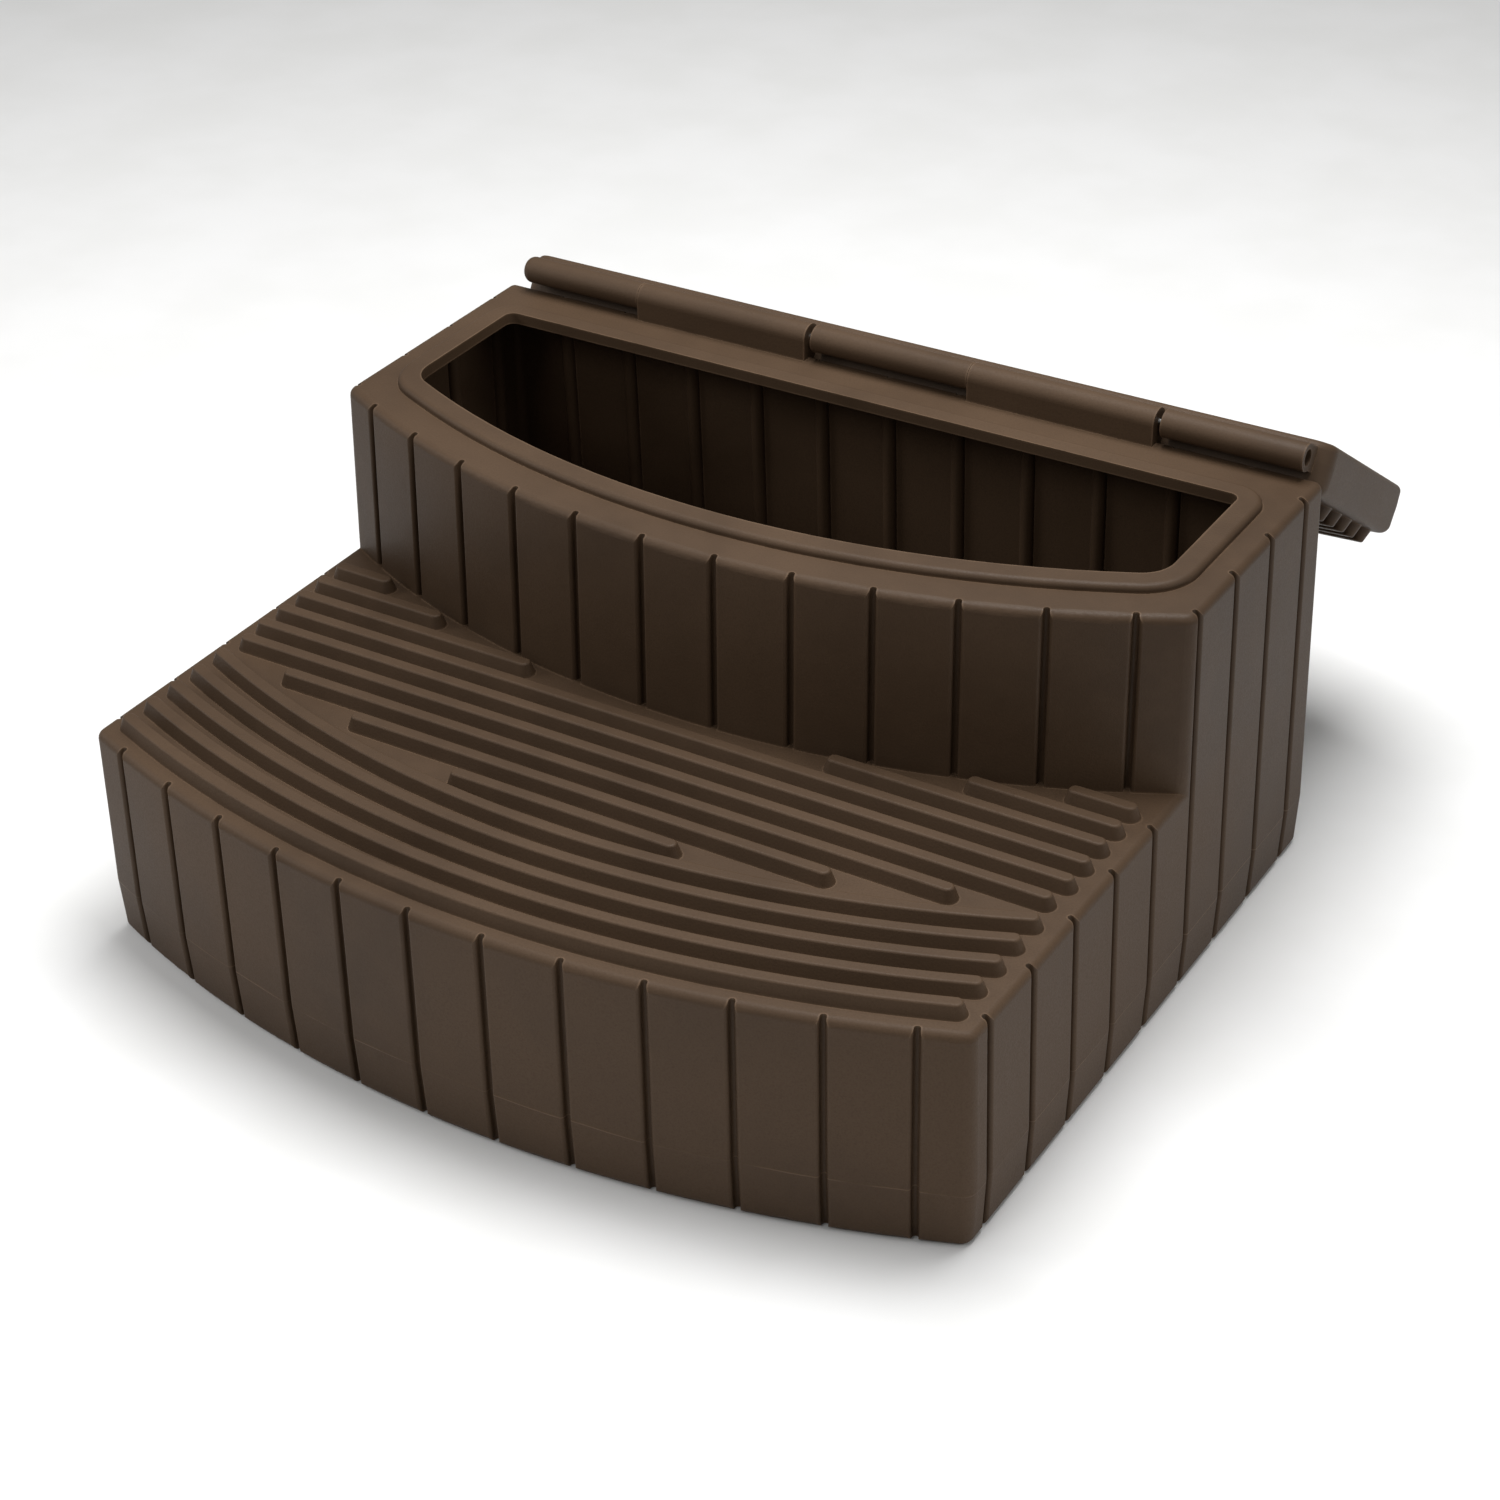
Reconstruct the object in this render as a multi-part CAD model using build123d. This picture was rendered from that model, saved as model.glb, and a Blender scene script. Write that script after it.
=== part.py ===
from build123d import *
import math
import os

# ---------------------------------------------------------------------------
# Spa steps with a storage bin: a blow-moulded two-step body whose upper step is
# an open bin, and a double-wall lid that is the upper tread and swings back on
# a steel rod along the rear edge.
#
# Millimetres, +Z up, +X to the right of a person facing the steps, +Y to the
# rear.  The origin is on the floor, in the middle of the footprint.
# ---------------------------------------------------------------------------

# Overall form, measured at the parting line, which is the widest level
overall_width = 912.0
overall_depth = 776.0
lower_step_height = 220.0
upper_step_height = 395.0
parting_height = 57.0
tread_depth = 393.0          # front corner to riser corner, along the side
front_bow = 89.0             # how far the lower front bulges past its corners
riser_bow = 115.0            # the same for the upper riser
wall = 4.0                   # moulded wall, body and lid
wall_draft = 1.0             # degrees, above the parting line
riser_draft = 2.0            # degrees, upper riser
foot_draft = 3.0             # degrees, below the parting line
corner_radius = 14.0         # upright corners, in plan
edge_radius = 8.0            # rim of both decks
foot_radius = 7.0            # bottom edge

# Upright grooves that divide the walls into boards
board_pitch = 76.2
front_groove_count = 12      # lower front and upper riser
side_groove_count = 9
back_groove_count = 11
groove_width = 6.0
groove_depth = 8.0
groove_shoulder = 3.5        # rounding of the board edges
side_groove_start = 27.7     # from the front corner to the first side groove
groove_overrun = 10.0        # how far the groove cutters run past the ends of a wall

# Raised tread ribs
rib_pitch = 30.5
rib_width = 21.0             # at the foot of a rib
rib_flank = 20.0             # degrees from upright
rib_crest_radius = 2.6
rib_end_margin = 16.0        # from the rib ends to the side edge of a deck
curved_rib_count = 5
first_rib_setback = 27.8     # from the front edge to the first curved rib
channel = 11.4               # between the last curved rib and the ends of the short rows
tight_channel = 4.5          # the same for the shortest row
shortest_row = 60.0          # least half length that the full channel allows
riser_margin = 6.8           # between the straight rows and the riser
lower_rib_height = 13.0
lower_row_setback = 62.0     # rearmost straight row, forward of the riser corners

# Bin mouth and the raised lip round it
mouth_side_inset = 50.0      # side edge of the deck to the mouth
mouth_front_inset = 62.0     # riser edge to the mouth
mouth_rear_inset = 75.0      # rear edge to the mouth
mouth_front_radius = 34.0
mouth_rear_radius = 10.0
lip_width = 23.0
lip_height = 7.5
lip_crest_radius = 6.0

# Hinge along the rear edge
hinge_setback = 2.0          # axis forward of the rear edge of the deck
block_chin = 12.0            # rear face of a block, below the axis
block_chin_run = 17.0        # further drop, back in to the rear wall
knuckle_diameter = 27.0
rod_diameter = 6.35
rod_clearance = 0.05         # all round, rod in the body's blocks and the lid
block_inner = 90.0           # body blocks run from here...
block_outer = 285.0          # ...to here, either side of the middle
knuckle_end_gap = 3.5        # end play between a block and the next knuckle
knuckle_reach = 430.0        # outer ends of the outer knuckles
lid_side_shift = 3.0         # the lid has slid this far along its end play
rod_mouth_diameter = 16.0    # open socket in the outer knuckles, for the retainer
rod_mouth_depth = 14.0
rod_end_wall = 8.0           # closed end of the left knuckle
rod_chamfer = 0.8
knuckle_end_radius = 8.0     # rounding of the closed end

# Lid
lid_inset = 6.0              # lid edge inside the edge of the upper deck
lid_gap = 0.5                # closed lid above the deck
lid_thickness = 50.0         # without the ribs
lid_under_axis = 20.0        # underside of the lid below the hinge axis
lid_rear_setback = 19.0      # rear wall of the lid forward of the hinge axis
lid_edge_radius = 10.0
lid_under_radius = 7.0
lid_corner_radius = 22.0
lid_rib_height = 14.0
lid_row_setback = 24.0       # rear edge of the lid to its rearmost straight row
lid_draft = 2.0              # degrees, edge of the lid, above and below its parting line
open_gap = 0.4               # between the open lid and the back of the body
lip_room = 3.0               # round and over the lip, in the recess under the lid
tack_off_mouth = 46.0        # conical pockets that tie the two walls of the lid
tack_off_floor = 20.0
tack_off_columns = 6
tack_off_pitch = 118.0
tack_off_rows = 2
tack_off_row_pitch = 96.0
tack_off_setback = 46.0      # rear edge of the mouth to the first row
web_above_axis = 11.0        # top of the webs that carry the knuckles

# Rod retainer, a push-on cap
retainer_diameter = 13.0
retainer_thickness = 5.0
retainer_grip = 4.0          # how far the cap goes on over the rod
retainer_clearance = 0.3     # between the cap and the floor of its socket

# Room that cutting shapes take outside the part
cut_through = 1.0            # past a face that a cutter opens
all_round = 3 * overall_width


# ---------------------------------------------------------------------------
# Values that follow from the sizes above
# ---------------------------------------------------------------------------

def lean(degrees, height):
    """Sideways run of a drafted wall over a height."""
    return height * math.tan(math.radians(degrees))


def bow_radius(half_width, bow):
    """Radius of the arc that bulges by bow over two half widths."""
    return (half_width ** 2 + bow ** 2) / (2 * bow)


half_width = overall_width / 2
half_depth = overall_depth / 2
deck_half = half_width - lean(wall_draft, upper_step_height - parting_height)
rear_edge = half_depth - lean(wall_draft, upper_step_height - parting_height)
front_corner = -half_depth + front_bow
front_radius = bow_radius(half_width, front_bow)
front_centre = -half_depth + front_radius
lower_rise = lean(wall_draft, lower_step_height - parting_height)
lower_half = half_width - lower_rise
lower_front_radius = front_radius - lower_rise
step_rise = upper_step_height - lower_step_height
riser_corner = front_corner + lower_rise + tread_depth
riser_foot_radius = bow_radius(lower_half, riser_bow)
riser_centre = riser_corner - riser_bow + riser_foot_radius
riser_top_radius = riser_foot_radius - lean(riser_draft, step_rise)
riser_top_corner = riser_centre - math.sqrt(riser_top_radius ** 2 - deck_half ** 2)

hinge_y = rear_edge - hinge_setback
hinge_z = upper_step_height + lid_gap + lid_under_axis
bore_diameter = rod_diameter + 2 * rod_clearance
lid_bottom = upper_step_height + lid_gap
lid_top = lid_bottom + lid_thickness
lid_half = deck_half - lid_inset
lid_front_radius = riser_top_radius - lid_inset
lid_rear = hinge_y - lid_rear_setback
lid_parting = hinge_z


# ---------------------------------------------------------------------------
# Shared outlines
# ---------------------------------------------------------------------------

def bowed_plan(half, radius, centre, rear, corner):
    """Plan outline with straight sides and rear and a bowed front."""
    shoulder = centre - math.sqrt(radius ** 2 - half ** 2)
    front = ThreePointArc((-half, shoulder), (0, centre - radius), (half, shoulder))
    sides = Polyline((half, shoulder), (half, rear), (-half, rear), (-half, shoulder))
    face = make_face(Wire(front.edges() + sides.edges()))
    return fillet(face.vertices(), corner)


def in_front_of_arc(radius, centre):
    """Everything in front of a bowed line."""
    disc = Pos(0, centre) * Circle(radius)
    field = Rectangle(all_round, all_round)
    behind = Pos(0, centre) * Rectangle(all_round, all_round, align=(Align.CENTER, Align.MIN))
    return field - disc - behind


def groove_bar(foot, head, outward, width, depth):
    """Cutter for one upright groove, from foot to head along the wall."""
    half = width / 2
    shoulder = groove_shoulder
    brow = half + shoulder
    bend = shoulder * math.sqrt(0.5)
    along = Vector(*outward, 0).cross(Vector(0, 0, 1))
    section = Plane(origin=foot, x_dir=along, z_dir=Vector(*head) - Vector(*foot))
    outline = Polyline((-half, half - depth), (-half, -shoulder))
    outline += ThreePointArc((-half, -shoulder), (bend - brow, bend - shoulder), (-brow, 0))
    outline += Polyline((-brow, 0), (-brow, groove_overrun), (brow, groove_overrun), (brow, 0))
    outline += ThreePointArc((brow, 0), (brow - bend, bend - shoulder), (half, -shoulder))
    outline += Line((half, -shoulder), (half, half - depth))
    outline += ThreePointArc((half, half - depth), (0, -depth), (-half, half - depth))
    profile = make_face(Wire(outline.edges()))
    return extrude(section * profile, (Vector(*head) - Vector(*foot)).length)


def raised(shape, base, height):
    """A rib with sloping flanks and a rounded crest."""
    rib = extrude(Pos(0, 0, base) * shape, height, taper=rib_flank)
    return fillet(rib.edges().group_by(Axis.Z)[-1], rib_crest_radius)


def straight_rib(left, right, y, base, height):
    """A rib parallel to the rear edge, between the centres of its two round ends."""
    shape = Pos((left + right) / 2, y) * SlotCenterToCenter(right - left, rib_width)
    return raised(shape, base, height)


def tread_ribs(half, front, centre, first_row, riser_limit, base, height):
    """Bowed ribs along the front edge and straight rows behind them.

    half and front are the half width of the deck and the radius of its front edge
    about centre.  riser_limit is the radius about the riser's own centre that the
    ends of the rear rows keep outside; 0 where there is no riser.
    """
    tip = half - rib_end_margin - rib_width / 2
    ribs = []
    for index in range(curved_rib_count):
        last_radius = front - first_rib_setback - index * rib_pitch
        end_y = centre - math.sqrt(last_radius ** 2 - tip ** 2)
        line = ThreePointArc((-tip, end_y), (0, centre - last_radius), (tip, end_y))
        ribs.append(raised(SlotArc(line, rib_width), base, height))
    reach = last_radius - rib_width - channel
    tight_reach = last_radius - rib_width - tight_channel
    row_space = first_row - centre + (reach + tight_reach) / 2
    for index in range(int(row_space / rib_pitch) + 1):
        y = first_row - index * rib_pitch
        room = reach ** 2 - (centre - y) ** 2
        if room < shortest_row ** 2:
            room = tight_reach ** 2 - (centre - y) ** 2
        end = min(tip, math.sqrt(room))
        if riser_limit > riser_centre - y:
            start = math.sqrt(riser_limit ** 2 - (riser_centre - y) ** 2)
            ribs.append(straight_rib(start, end, y, base, height))
            ribs.append(straight_rib(-end, -start, y, base, height))
        else:
            ribs.append(straight_rib(-end, end, y, base, height))
    return ribs


# ---------------------------------------------------------------------------
# Body
# ---------------------------------------------------------------------------

def spanning(edges, low, high):
    """The edges that run exactly between two levels."""
    chosen = []
    for edge in edges:
        box = edge.bounding_box()
        if abs(box.min.Z - low) < 0.1 and abs(box.max.Z - high) < 0.1:
            chosen.append(edge)
    return chosen


def body_plan(inset):
    """Footprint at the parting line."""
    return Pos(0, 0, parting_height) * bowed_plan(
        half_width - inset,
        front_radius - inset,
        front_centre,
        half_depth - inset,
        corner_radius - inset / 2,
    )


def lower_block(inset):
    """The full footprint, up to the lower deck."""
    plan = body_plan(inset)
    above = extrude(plan, lower_step_height - parting_height - inset, taper=wall_draft)
    below = extrude(plan, inset - parting_height, taper=foot_draft)
    return above + below


def upper_block(inset):
    """The rear of the footprint, up to the upper deck."""
    block = extrude(body_plan(inset), upper_step_height - parting_height - inset, taper=wall_draft)
    start_radius = riser_foot_radius - inset + lean(riser_draft, lower_step_height - parting_height)
    front = Pos(0, 0, parting_height) * in_front_of_arc(start_radius, riser_centre)
    return block - extrude(front, upper_step_height - parting_height, taper=-riser_draft)


def rounded_body():
    """Outer form with its corners and rims rounded."""
    lower = lower_block(0)
    lower = fillet(lower.edges().group_by(Axis.Z)[-1], edge_radius)
    lower = fillet(lower.edges().group_by(Axis.Z)[0], foot_radius)
    upper = upper_block(0)
    uprights = spanning(upper.edges(), parting_height, upper_step_height)
    uprights = [edge for edge in uprights if edge.center().Y < riser_corner + riser_bow / 2]
    upper = fillet(uprights, corner_radius)
    upper = fillet(upper.edges().group_by(Axis.Z)[-1], edge_radius)
    return lower + upper


def wall_grooves(width, depth):
    """Cutters for the grooves of the front, sides and rear."""
    bars = []
    places = []
    for index in range(front_groove_count):
        angle = (index - (front_groove_count - 1) / 2) * board_pitch / lower_front_radius
        outward = (math.sin(angle), -math.cos(angle))
        point = (front_radius * outward[0], front_centre + front_radius * outward[1])
        places.append((point, outward, lower_step_height))
    for index in range(side_groove_count):
        y = front_corner + lower_rise + side_groove_start + index * board_pitch
        top = lower_step_height if y < riser_top_corner else upper_step_height
        places.append(((half_width, y), (1, 0), top))
        places.append(((-half_width, y), (-1, 0), top))
    for index in range(back_groove_count):
        x = (index - (back_groove_count - 1) / 2) * board_pitch
        places.append(((x, half_depth), (0, 1), upper_step_height))
    for point, outward, top in places:
        foot, middle, head = wall_line(point, outward, top + groove_overrun, -groove_overrun)
        below = groove_bar(foot, middle, outward, width, depth)
        above = groove_bar(middle, head, outward, width, depth)
        bars.append(below + above)
    return bars


def wall_line(point, outward, top, bottom):
    """Bottom, parting and top points of an upright line down a drafted wall."""
    x, y = point
    nx, ny = outward
    above = lean(wall_draft, top - parting_height)
    below = lean(foot_draft, parting_height - bottom)
    head = (x - nx * above, y - ny * above, top)
    middle = (x, y, parting_height)
    foot = (x - nx * below, y - ny * below, bottom)
    return foot, middle, head


def riser_grooves(width, depth, bottom):
    """Cutters for the grooves of the upper riser."""
    bars = []
    for index in range(front_groove_count):
        angle = (index - (front_groove_count - 1) / 2) * board_pitch / riser_top_radius
        outward = (math.sin(angle), -math.cos(angle))
        ends = []
        for level in (bottom, upper_step_height + groove_overrun):
            radius = riser_foot_radius - lean(riser_draft, level - lower_step_height)
            ends.append((radius * outward[0], riser_centre + radius * outward[1], level))
        bars.append(groove_bar(ends[0], ends[1], outward, width, depth))
    return bars


def hinge_block(inset):
    """One block of the rear hinge, on the right; or its hollow."""
    radius = knuckle_diameter / 2 - inset
    chin = -block_chin - block_chin_run
    rear = hinge_setback - inset
    outline = Polyline((radius, 0), (radius, -block_chin), (rear, chin), (-radius, chin), (-radius, 0))
    outline += ThreePointArc((-radius, 0), (0, radius), (radius, 0))
    side = Plane(origin=(block_inner + inset, hinge_y, hinge_z), x_dir=(0, 1, 0), z_dir=(1, 0, 0))
    return extrude(side * make_face(Wire(outline.edges())), block_outer - block_inner - 2 * inset)


def mouth_plan(grow):
    """Outline of the bin mouth, grown outward."""
    half = deck_half - mouth_side_inset + grow
    radius = riser_top_radius - mouth_front_inset + grow
    rear = rear_edge - mouth_rear_inset + grow
    shoulder = riser_centre - math.sqrt(radius ** 2 - half ** 2)
    front = ThreePointArc((-half, shoulder), (0, riser_centre - radius), (half, shoulder))
    sides = Polyline((half, shoulder), (half, rear), (-half, rear), (-half, shoulder))
    face = make_face(Wire(front.edges() + sides.edges()))
    corners = face.vertices().sort_by(Axis.Y)
    face = fillet(corners[-2:], mouth_rear_radius + grow)
    corners = face.vertices().sort_by(Axis.Y)
    return fillet(corners[:2], mouth_front_radius + grow)


def lip():
    """Raised rim round the bin mouth, on top of the deck."""
    ring = extrude(Pos(0, 0, upper_step_height) * mouth_plan(lip_width), lip_height)
    ring = fillet(ring.edges().group_by(Axis.Z)[-1], lip_crest_radius)
    return ring


def body_shell():
    """The two-step body with its open bin."""
    hollow_width = groove_width + 2 * wall
    hollow_depth = groove_depth + wall
    outside = rounded_body() - wall_grooves(groove_width, groove_depth)
    outside = outside - riser_grooves(groove_width, groove_depth, lower_step_height)
    outside = outside + both_sides(hinge_block(0)) + lip() + lower_ribs()
    inside = lower_block(wall) + upper_block(wall)
    inside = inside - wall_grooves(hollow_width, hollow_depth)
    inside = inside - riser_grooves(hollow_width, hollow_depth, lower_step_height - wall)
    inside = inside + both_sides(hinge_block(wall))
    deck_under = upper_step_height - wall
    mouth_height = wall + lip_height + cut_through
    mouth = extrude(Pos(0, 0, deck_under - cut_through) * mouth_plan(0), mouth_height + cut_through)
    bore = across(bore_diameter, -block_outer - cut_through, block_outer + cut_through)
    return outside - inside - mouth - bore


def both_sides(solid):
    """A solid and its mirror image on the other side of the middle."""
    return [solid, mirror(solid, Plane.YZ)]


def across(diameter, left, right):
    """A round bar along the hinge axis."""
    start = Plane(origin=(left, hinge_y, hinge_z), x_dir=(0, 1, 0), z_dir=(1, 0, 0))
    return extrude(start * Circle(diameter / 2), right - left)


def lower_ribs():
    """The tread ribs of the lower step."""
    riser_limit = riser_foot_radius + riser_margin + rib_width / 2
    return tread_ribs(
        lower_half,
        lower_front_radius,
        front_centre,
        riser_top_corner - lower_row_setback,
        riser_limit,
        lower_step_height,
        lower_rib_height,
    )


# ---------------------------------------------------------------------------
# Lid, modelled closed
# ---------------------------------------------------------------------------

def lid_form(inset):
    """Plate of the lid without ribs, drafted from its parting line; or its hollow."""
    plan = Pos(0, 0, lid_parting) * bowed_plan(
        lid_half - inset,
        lid_front_radius - inset,
        riser_centre,
        lid_rear - inset,
        lid_corner_radius - inset / 2,
    )
    above = extrude(plan, lid_top - lid_parting - inset, taper=lid_draft)
    below = extrude(plan, lid_bottom - lid_parting + inset, taper=lid_draft)
    return above + below


def lip_recess(room):
    """Hollow under the lid that clears the lip of the bin."""
    depth = lip_height - lid_gap + room
    return extrude(Pos(0, 0, lid_bottom) * mouth_plan(lip_width + room), depth)


def tack_offs(grow):
    """Conical pockets in the underside of the lid."""
    depth = lid_thickness - 2 * wall
    pockets = []
    rear_row = rear_edge - mouth_rear_inset - tack_off_setback
    for column in range(tack_off_columns):
        x = (column - (tack_off_columns - 1) / 2) * tack_off_pitch
        for row in range(tack_off_rows):
            cone = Cone(
                tack_off_mouth / 2 + grow,
                tack_off_floor / 2 + grow,
                depth + grow,
                align=(Align.CENTER, Align.CENTER, Align.MIN),
            )
            pockets.append(Pos(x, rear_row - row * tack_off_row_pitch, lid_bottom) * cone)
    return pockets


def lid_ribs():
    """The tread ribs of the lid."""
    first_row = lid_rear - lid_row_setback
    return tread_ribs(
        lid_half, lid_front_radius, riser_centre, first_row, 0, lid_top, lid_rib_height
    )


def knuckles():
    """The three tubes of the lid and the webs that carry them."""
    inner = block_inner - knuckle_end_gap
    outer = block_outer + knuckle_end_gap
    middle = across(knuckle_diameter, -inner, inner)
    right = across(knuckle_diameter, outer, knuckle_reach)
    left = across(knuckle_diameter, -knuckle_reach, -outer)
    left = fillet(left.edges().group_by(Axis.X)[0], knuckle_end_radius)
    depth = hinge_y - lid_rear + wall
    height = knuckle_diameter / 2 + web_above_axis
    webs = []
    for start, end in ((knuckle_end_radius - knuckle_reach, -outer), (-inner, inner), (outer, knuckle_reach)):
        web = Box(end - start, depth, height, align=(Align.MIN, Align.MAX, Align.MIN))
        webs.append(Pos(start, hinge_y, hinge_z - knuckle_diameter / 2) * web)
    return [middle, left, right] + webs


def closed_lid():
    """The lid as it lies on the upper step."""
    plate = lid_form(0)
    plate = fillet(plate.edges().group_by(Axis.Z)[-1], lid_edge_radius)
    plate = fillet(plate.edges().group_by(Axis.Z)[0], lid_under_radius)
    outside = plate + lid_ribs() + knuckles()
    hollow = lid_form(wall) - lip_recess(lip_room + wall) - tack_offs(wall)
    right = knuckle_reach + cut_through
    bore = across(bore_diameter, rod_end_wall - knuckle_reach, right)
    socket = across(rod_mouth_diameter, knuckle_reach - rod_mouth_depth, right)
    return outside - hollow - lip_recess(lip_room) - tack_offs(0) - bore - socket


# ---------------------------------------------------------------------------
# Rod and retainer, lid closed
# ---------------------------------------------------------------------------

def hinge_rod():
    """Steel rod from the closed end of the left knuckle to the socket in the right one."""
    left = rod_end_wall - knuckle_reach
    right = knuckle_reach - rod_mouth_depth + retainer_clearance + retainer_grip
    rod = across(rod_diameter, left, right)
    ends = rod.edges().filter_by(GeomType.CIRCLE)
    return chamfer(ends, rod_chamfer)


def rod_retainer():
    """Push-on cap that keeps the rod in."""
    left = knuckle_reach - rod_mouth_depth + retainer_clearance
    cap = across(retainer_diameter, left, left + retainer_thickness)
    cap = fillet(cap.edges().group_by(Axis.X)[-1], retainer_thickness - retainer_grip)
    return cap - across(rod_diameter, left - cut_through, left + retainer_grip)


# ---------------------------------------------------------------------------
# Lid set, swung open
# ---------------------------------------------------------------------------

def open_angle():
    """How far the lid swings back before its edge meets the rear wall of the body."""
    edge_y = -(lid_rear_setback + lid_edge_radius)
    edge_z = lid_top - lid_edge_radius - hinge_z
    reach = math.hypot(edge_y, edge_z)
    start = math.degrees(math.atan2(edge_z, edge_y))
    above_deck = hinge_z - upper_step_height
    draft = math.radians(wall_draft)
    axis_inside = hinge_setback * math.cos(draft) - above_deck * math.sin(draft)
    needed = lid_edge_radius + open_gap + axis_inside
    return start - wall_draft + math.degrees(math.acos(needed / reach))


def swung_open(solid):
    """Place a piece of the lid set with the lid open and slid to one side."""
    axis = Axis((0, hinge_y, hinge_z), (-1, 0, 0))
    return Pos(lid_side_shift, 0, 0) * solid.rotate(axis, open_angle())


os.makedirs("parts", exist_ok=True)
export_step(body_shell(), "parts/body_shell.step")
export_step(swung_open(closed_lid()), "parts/storage_lid.step")
export_step(swung_open(hinge_rod()), "parts/hinge_rod.step")
export_step(swung_open(rod_retainer()), "parts/rod_retainer.step")
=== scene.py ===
"""Looks of the spa steps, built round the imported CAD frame.  Metres, +Z up, the
frame's own axes: +X right of a person facing the steps, +Y to the rear."""

import bpy
from mathutils import Matrix, Vector


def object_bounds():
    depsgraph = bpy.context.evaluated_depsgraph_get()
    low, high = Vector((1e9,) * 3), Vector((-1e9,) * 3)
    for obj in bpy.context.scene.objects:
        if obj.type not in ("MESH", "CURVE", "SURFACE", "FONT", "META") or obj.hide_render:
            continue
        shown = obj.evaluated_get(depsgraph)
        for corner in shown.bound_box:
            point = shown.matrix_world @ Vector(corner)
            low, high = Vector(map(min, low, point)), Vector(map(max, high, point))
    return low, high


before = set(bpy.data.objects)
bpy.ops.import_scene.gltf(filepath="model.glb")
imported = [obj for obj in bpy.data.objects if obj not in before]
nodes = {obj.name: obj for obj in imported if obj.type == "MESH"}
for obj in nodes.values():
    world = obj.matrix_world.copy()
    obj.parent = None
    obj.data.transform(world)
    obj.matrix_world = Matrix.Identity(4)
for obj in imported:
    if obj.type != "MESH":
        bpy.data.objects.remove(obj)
cad_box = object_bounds()

BODY = "body_shell"
LID = "storage_lid"
ROD = "hinge_rod"
CAP = "rod_retainer"

# Colours, linear, of the plastic: a darker and a lighter tone mixed at random, and rubbed pale on the
# edges
BODY_DARK = (0.052, 0.0305, 0.0165, 1.0)
BODY_LIGHT = (0.076, 0.0455, 0.0252, 1.0)
BODY_RUBBED = (0.165, 0.1050, 0.0640, 1.0)
LID_DARK = (0.051, 0.0300, 0.0163, 1.0)
LID_LIGHT = (0.074, 0.0445, 0.0248, 1.0)
LID_RUBBED = (0.160, 0.1020, 0.0620, 1.0)

# Sizes of the plastic's patterns, as noise scales per metre
CLOUD_SCALE = 3.2
MOTTLE_SCALE = 26.0
GRAIN_SCALE = 560.0
PIT_SCALE = 430.0
FLOW_SCALE = 38.0
FLOW_STRETCH = (1.0, 1.0, 0.18)     # flow marks are drawn out up and down

# Share of the second colour that each pattern brings in at most
MOTTLE_SHARE = 0.35
GRAIN_SHARE = 0.45
RUBBED_SHARE = 0.6
SEAM_SHARE = 0.5

# Satin finish of the plastic
SATIN = (0.52, 0.60)                # roughness from the smoothest to the roughest cloud
GRAIN_ROUGHNESS = (-0.03, 0.05)     # added by the grain
RUBBED_GLOSS = 0.07                 # taken off roughness on a rubbed edge
PLASTIC_IOR = 1.5
PLASTIC_SPECULAR = 0.2

# Bumps, as strength and height in metres
FLOW_BUMP = (0.10, 0.0012)
GRAIN_BUMP = (0.45, 0.00035)
PIT_BUMP = (0.2, 0.0002)
SEAM_BUMP = (0.8, 0.0004)
LINE_BUMP = (0.15, 0.0001)

# Mould seam of the body, and how it wanders and breaks up, in metres
PARTING_LEVEL = 0.057
SEAM_WIDTH = 0.0009
SEAM_WANDER = 0.0012
SEAM_WANDER_SCALE = 9.0
SEAM_BREAKS = 14.0
SEAM_FAINTEST = 0.12                # how much of the seam is left where it breaks up

# Rounding that still counts as an edge, in metres
PLASTIC_EDGE = 0.0035
STEEL_EDGE = 0.0006
EDGE_SAMPLES = 6
EDGE_SHARP = 0.90                   # turn of the bevelled normal at a full edge...
EDGE_FLAT = 0.995                   # ...and where the surface counts as flat

# Steel of the rod and its cap
LINE_SCALE = 900.0
LINE_SHARE = 0.4
LINE_ROUGHNESS = (-0.04, 0.05)
STAIN_SCALE = 55.0
ROD_DARK = (0.36, 0.35, 0.33, 1.0)
ROD_LIGHT = (0.66, 0.65, 0.63, 1.0)
ROD_STRETCH = (0.05, 1.0, 1.0)      # drawn along the rod
ROD_ROUGHNESS = (0.22, 0.32)
CAP_DARK = (0.30, 0.29, 0.27, 1.0)
CAP_LIGHT = (0.56, 0.55, 0.52, 1.0)
CAP_STRETCH = (1.0, 1.0, 1.0)
CAP_ROUGHNESS = (0.28, 0.42)

# Floor, a hair below the foot of the steps
FLOOR_SIZE = 14.0
FLOOR_DROP = 0.0005
FLOOR_DARK = (0.80, 0.80, 0.79, 1.0)
FLOOR_LIGHT = (0.83, 0.83, 0.825, 1.0)
FLOOR_SCALE = 6.0
FLOOR_ROUGHNESS = 0.7

# Soft lamps, each with its place, its size and its power in watts
LAMPS = (
    ("overhead", (0.1, 0.5, 3.0), (1.9, 1.5), 105.0),
    ("left_side", (-3.0, -1.2, 2.1), (1.4, 1.4), 36.0),
    ("right_side", (3.2, 0.3, 1.9), (1.4, 1.4), 16.0),
    ("front_fill", (-0.4, -3.0, 3.0), (1.4, 1.2), 20.0),
)
WORLD_COLOUR = (1.0, 1.0, 1.0, 1.0)
WORLD_STRENGTH = 0.24

# Photograph's viewpoint
CAMERA_PLACE = (1.3308, -2.0165, 1.7442)
CAMERA_RIGHT = (0.85402, 0.51983, -0.02051)
CAMERA_UP = (-0.26879, 0.47465, 0.83813)
CAMERA_BACK = (0.44542, -0.71027, 0.54509)
LENS = 74.76
SENSOR = 36.0


# ---------------------------------------------------------------------------
# Node helpers
# ---------------------------------------------------------------------------

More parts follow.
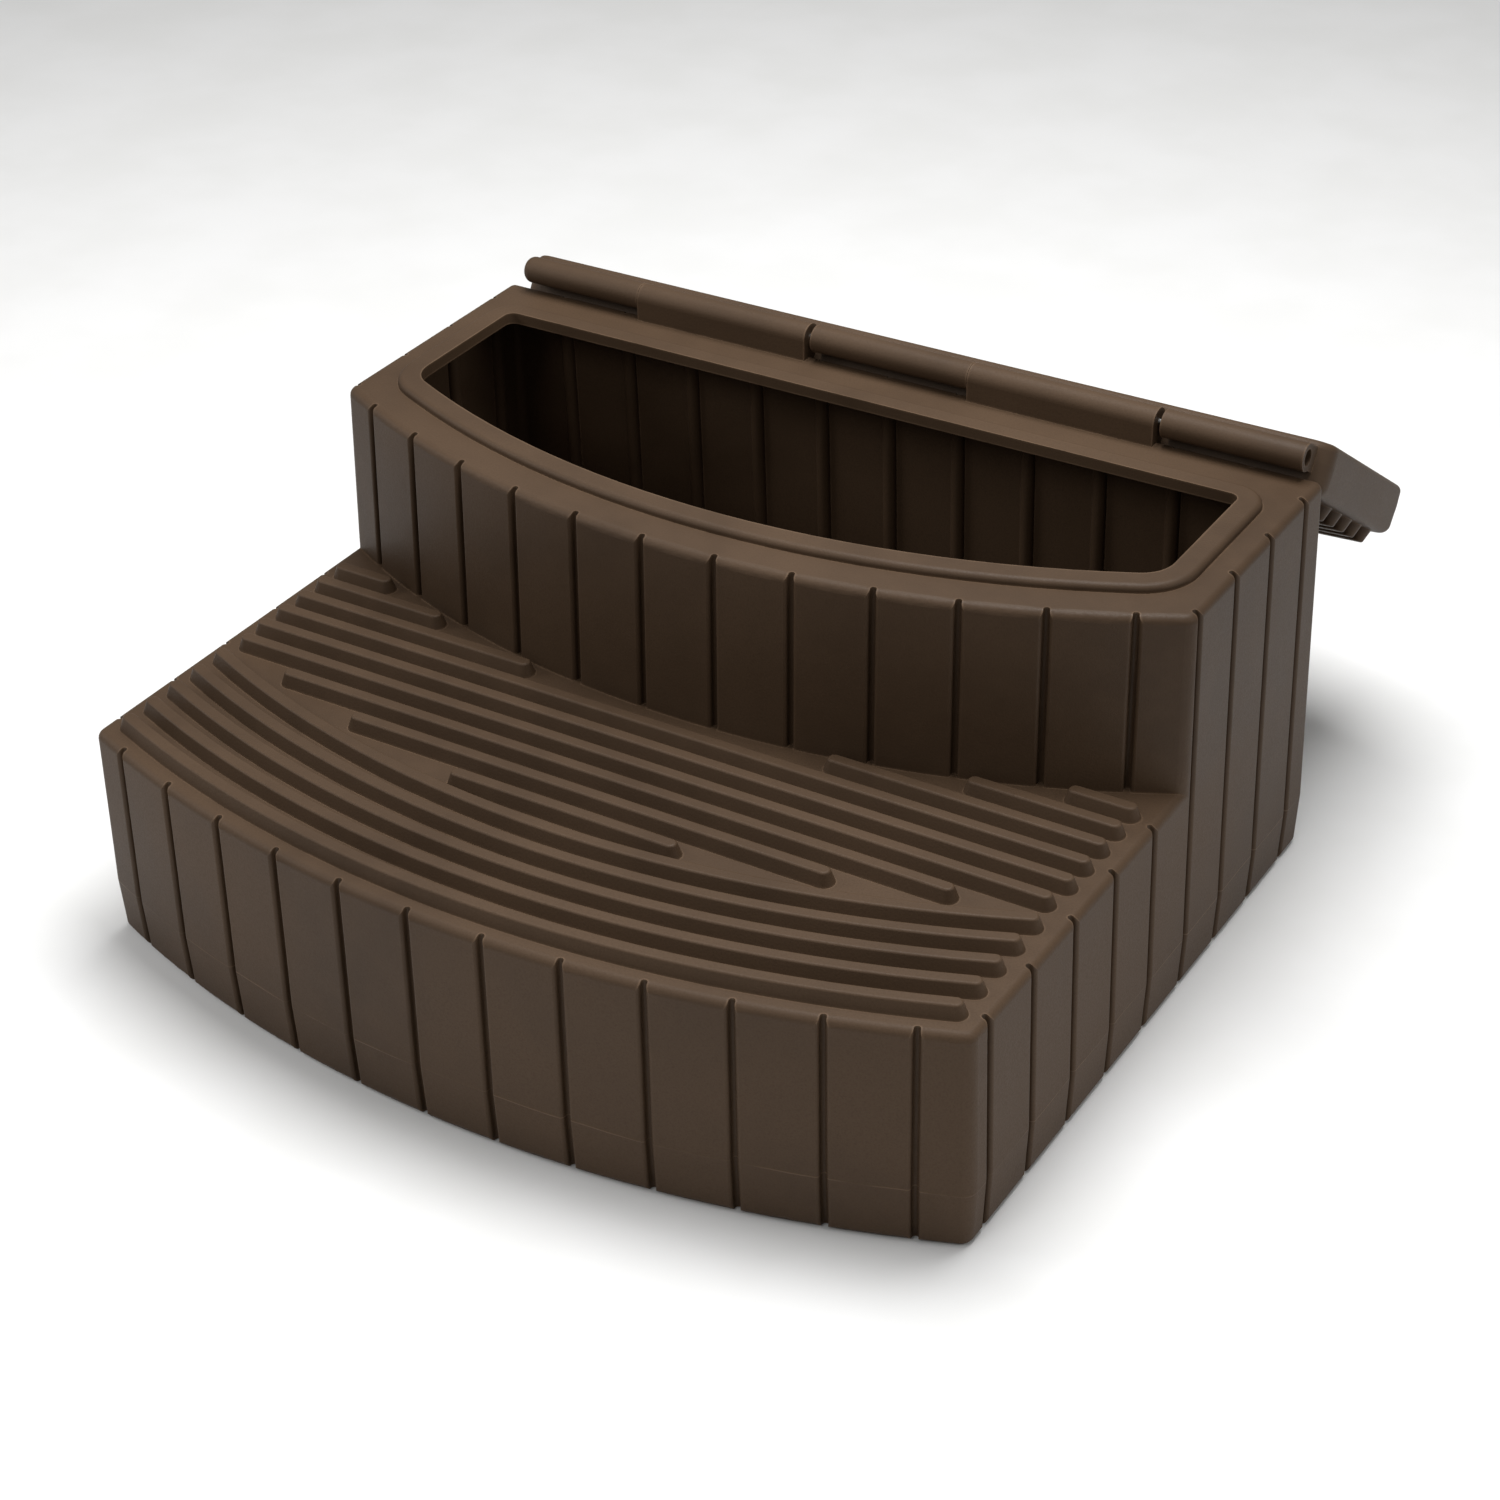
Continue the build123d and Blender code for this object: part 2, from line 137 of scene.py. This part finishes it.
class Graph:
    """A material's node tree, with short calls for the nodes used here."""

    def __init__(self, name):
        self.material = bpy.data.materials.new(name)
        self.material.use_nodes = True
        self.tree = self.material.node_tree
        self.tree.nodes.clear()
        self.output = self.tree.nodes.new("ShaderNodeOutputMaterial")
        self.shader = self.tree.nodes.new("ShaderNodeBsdfPrincipled")
        self.link(self.shader.outputs["BSDF"], self.output.inputs["Surface"])

    def link(self, source, target):
        self.tree.links.new(source, target)

    def feed(self, socket, value):
        """Connect an output, or set a plain value."""
        if isinstance(value, bpy.types.NodeSocket):
            self.link(value, socket)
        else:
            socket.default_value = value

    def place(self):
        """Where a point lies on its own piece, so that patterns ride with it."""
        return self.tree.nodes.new("ShaderNodeTexCoord").outputs["Object"]

    def stretched(self, vector, scale):
        node = self.tree.nodes.new("ShaderNodeMapping")
        self.feed(node.inputs["Vector"], vector)
        node.inputs["Scale"].default_value = scale
        return node.outputs["Vector"]

    def noise(self, vector, scale, detail=3.0, roughness=0.5, distortion=0.0):
        node = self.tree.nodes.new("ShaderNodeTexNoise")
        self.feed(node.inputs["Vector"], vector)
        node.inputs["Scale"].default_value = scale
        node.inputs["Detail"].default_value = detail
        node.inputs["Roughness"].default_value = roughness
        node.inputs["Distortion"].default_value = distortion
        return node.outputs["Fac"]

    def cells(self, vector, scale):
        node = self.tree.nodes.new("ShaderNodeTexVoronoi")
        self.feed(node.inputs["Vector"], vector)
        node.inputs["Scale"].default_value = scale
        return node.outputs["Distance"]

    def span(self, value, low, high, to_low=0.0, to_high=1.0):
        """Carry low...high over to to_low...to_high, easing in and out."""
        node = self.tree.nodes.new("ShaderNodeMapRange")
        node.interpolation_type = "SMOOTHSTEP"
        self.feed(node.inputs["Value"], value)
        node.inputs["From Min"].default_value = low
        node.inputs["From Max"].default_value = high
        node.inputs["To Min"].default_value = to_low
        node.inputs["To Max"].default_value = to_high
        return node.outputs["Result"]

    def math(self, operation, first, second=0.0):
        node = self.tree.nodes.new("ShaderNodeMath")
        node.operation = operation
        self.feed(node.inputs[0], first)
        self.feed(node.inputs[1], second)
        return node.outputs["Value"]

    def mix(self, factor, first, second):
        node = self.tree.nodes.new("ShaderNodeMix")
        node.data_type = "RGBA"
        colours = [s for s in node.inputs if s.type == "RGBA"]
        self.feed(node.inputs["Factor"], factor)
        self.feed(colours[0], first)
        self.feed(colours[1], second)
        return [s for s in node.outputs if s.type == "RGBA"][0]

    def worn_edges(self, radius):
        """1 on sharp edges, 0 on flats, from how far the bevelled normal turns."""
        bevel = self.tree.nodes.new("ShaderNodeBevel")
        bevel.samples = EDGE_SAMPLES
        bevel.inputs["Radius"].default_value = radius
        geometry = self.tree.nodes.new("ShaderNodeNewGeometry")
        dot = self.tree.nodes.new("ShaderNodeVectorMath")
        dot.operation = "DOT_PRODUCT"
        self.link(bevel.outputs["Normal"], dot.inputs[0])
        self.link(geometry.outputs["Normal"], dot.inputs[1])
        return self.span(dot.outputs["Value"], EDGE_FLAT, EDGE_SHARP)

    def height_of(self, vector):
        node = self.tree.nodes.new("ShaderNodeSeparateXYZ")
        self.feed(node.inputs["Vector"], vector)
        return node.outputs["Z"]

    def seam(self, vector):
        """Broken line left by the mould's parting, at one height."""
        wander = self.noise(vector, SEAM_WANDER_SCALE, detail=2.0)
        drift = self.span(wander, 0.3, 0.7, -SEAM_WANDER, SEAM_WANDER)
        level = self.math("ADD", drift, PARTING_LEVEL)
        away = self.math("ABSOLUTE", self.math("SUBTRACT", self.height_of(vector), level))
        line = self.span(away, SEAM_WIDTH, SEAM_WIDTH / 3)
        breaks = self.span(self.noise(vector, SEAM_BREAKS), 0.45, 0.62, SEAM_FAINTEST, 1.0)
        return self.math("MULTIPLY", line, breaks)

    def bump(self, height, strength_and_distance, before=None):
        strength, distance = strength_and_distance
        node = self.tree.nodes.new("ShaderNodeBump")
        node.inputs["Strength"].default_value = strength
        node.inputs["Distance"].default_value = distance
        self.feed(node.inputs["Height"], height)
        if before is not None:
            self.link(before, node.inputs["Normal"])
        return node.outputs["Normal"]


# ---------------------------------------------------------------------------
# Materials
# ---------------------------------------------------------------------------

def moulded_polyethylene(name, dark, light, rubbed):
    """Dark brown blow-moulded plastic: satin grain, faint flow marks and a mould seam.

    The lid lies wholly above the seam's height, so the seam shows on the body alone.
    """
    g = Graph(name)
    place = g.place()
    clouds = g.noise(place, CLOUD_SCALE, detail=4.0, roughness=0.55, distortion=0.4)
    mottling = g.noise(place, MOTTLE_SCALE, roughness=0.6)
    grain = g.noise(place, GRAIN_SCALE, roughness=0.65)
    pits = g.cells(place, PIT_SCALE)
    flow = g.noise(g.stretched(place, FLOW_STRETCH), FLOW_SCALE, roughness=0.55)
    tone = g.mix(g.span(clouds, 0.32, 0.68), dark, light)
    tone = g.mix(g.span(mottling, 0.35, 0.75, 0.0, MOTTLE_SHARE), tone, light)
    tone = g.mix(g.span(grain, 0.42, 0.72, 0.0, GRAIN_SHARE), tone, dark)
    edges = g.math("MULTIPLY", g.worn_edges(PLASTIC_EDGE), g.span(mottling, 0.3, 0.6, 0.35, 1.0))
    tone = g.mix(g.math("MULTIPLY", edges, RUBBED_SHARE), tone, rubbed)
    seam = g.seam(place)
    tone = g.mix(g.math("MULTIPLY", seam, SEAM_SHARE), tone, rubbed)
    g.feed(g.shader.inputs["Base Color"], tone)
    rough = g.span(clouds, 0.3, 0.7, *SATIN)
    rough = g.math("ADD", rough, g.span(grain, 0.3, 0.7, *GRAIN_ROUGHNESS))
    rough = g.math("SUBTRACT", rough, g.math("MULTIPLY", edges, RUBBED_GLOSS))
    g.feed(g.shader.inputs["Roughness"], rough)
    g.shader.inputs["IOR"].default_value = PLASTIC_IOR
    g.shader.inputs["Specular IOR Level"].default_value = PLASTIC_SPECULAR
    coarse = g.bump(flow, FLOW_BUMP)
    fine = g.bump(grain, GRAIN_BUMP, coarse)
    pitted = g.bump(pits, PIT_BUMP, fine)
    g.feed(g.shader.inputs["Normal"], g.bump(seam, SEAM_BUMP, pitted))
    return g.material


def steel(name, dark, light, stretch, roughness):
    """Bright steel with fine lines, drawn out by stretch, and faint stains."""
    g = Graph(name)
    place = g.place()
    lines = g.noise(g.stretched(place, stretch), LINE_SCALE, roughness=0.6)
    stains = g.noise(place, STAIN_SCALE, detail=4.0, roughness=0.6)
    tone = g.mix(g.span(stains, 0.35, 0.7), light, dark)
    tone = g.mix(g.span(lines, 0.4, 0.7, 0.0, LINE_SHARE), tone, dark)
    edges = g.worn_edges(STEEL_EDGE)
    g.feed(g.shader.inputs["Base Color"], g.mix(g.math("MULTIPLY", edges, RUBBED_SHARE), tone, light))
    g.shader.inputs["Metallic"].default_value = 1.0
    stained = g.span(stains, 0.3, 0.7, *roughness)
    rough = g.math("ADD", stained, g.span(lines, 0.3, 0.7, *LINE_ROUGHNESS))
    g.feed(g.shader.inputs["Roughness"], rough)
    g.feed(g.shader.inputs["Normal"], g.bump(lines, LINE_BUMP))
    return g.material


def floor_paper():
    """Pale, nearly even paper for the floor."""
    g = Graph("floor_paper")
    paper = g.noise(g.place(), FLOOR_SCALE)
    g.feed(g.shader.inputs["Base Color"], g.mix(g.span(paper, 0.3, 0.7), FLOOR_DARK, FLOOR_LIGHT))
    g.shader.inputs["Roughness"].default_value = FLOOR_ROUGHNESS
    return g.material


def dress(node, material):
    """Give a CAD node a material in place of the one it was packed with."""
    node.data.materials.clear()
    node.data.materials.append(material)


dress(nodes[BODY], moulded_polyethylene("body_polyethylene", BODY_DARK, BODY_LIGHT, BODY_RUBBED))
dress(nodes[LID], moulded_polyethylene("lid_polyethylene", LID_DARK, LID_LIGHT, LID_RUBBED))
dress(nodes[ROD], steel("drawn_rod_steel", ROD_DARK, ROD_LIGHT, ROD_STRETCH, ROD_ROUGHNESS))
dress(nodes[CAP], steel("pressed_cap_steel", CAP_DARK, CAP_LIGHT, CAP_STRETCH, CAP_ROUGHNESS))


# ---------------------------------------------------------------------------
# Floor, light and camera
# ---------------------------------------------------------------------------

def pale_floor():
    """A plain pale floor under the steps."""
    bpy.ops.mesh.primitive_plane_add(size=FLOOR_SIZE, location=(0, 0, cad_box[0].z - FLOOR_DROP))
    floor = bpy.context.object
    floor.name = "floor"
    floor.data.materials.append(floor_paper())


def soft_light(name, place, size, power):
    """A large soft lamp aimed at the middle of the part."""
    lamp = bpy.data.lights.new(name, "AREA")
    lamp.shape = "RECTANGLE"
    lamp.size, lamp.size_y = size
    lamp.energy = power
    holder = bpy.data.objects.new(name, lamp)
    bpy.context.scene.collection.objects.link(holder)
    holder.location = place
    aim = (cad_box[0] + cad_box[1]) / 2 - Vector(place)
    holder.rotation_euler = aim.to_track_quat("-Z", "Y").to_euler()


def white_world():
    """Even white light from all round."""
    world = bpy.data.worlds.new("studio")
    world.use_nodes = True
    background = world.node_tree.nodes["Background"]
    background.inputs["Color"].default_value = WORLD_COLOUR
    background.inputs["Strength"].default_value = WORLD_STRENGTH
    bpy.context.scene.world = world


def camera():
    """The photograph's viewpoint, with a small roll and no shift."""
    lens = bpy.data.cameras.new("photo_camera")
    lens.lens = LENS
    lens.sensor_width = SENSOR
    holder = bpy.data.objects.new("photo_camera", lens)
    bpy.context.scene.collection.objects.link(holder)
    turn = Matrix((CAMERA_RIGHT, CAMERA_UP, CAMERA_BACK)).transposed()
    holder.matrix_world = Matrix.Translation(CAMERA_PLACE) @ turn.to_4x4()
    bpy.context.scene.camera = holder


pale_floor()
for name, place, size, power in LAMPS:
    soft_light(name, place, size, power)
white_world()
bpy.context.scene.view_settings.view_transform = "Standard"
camera()
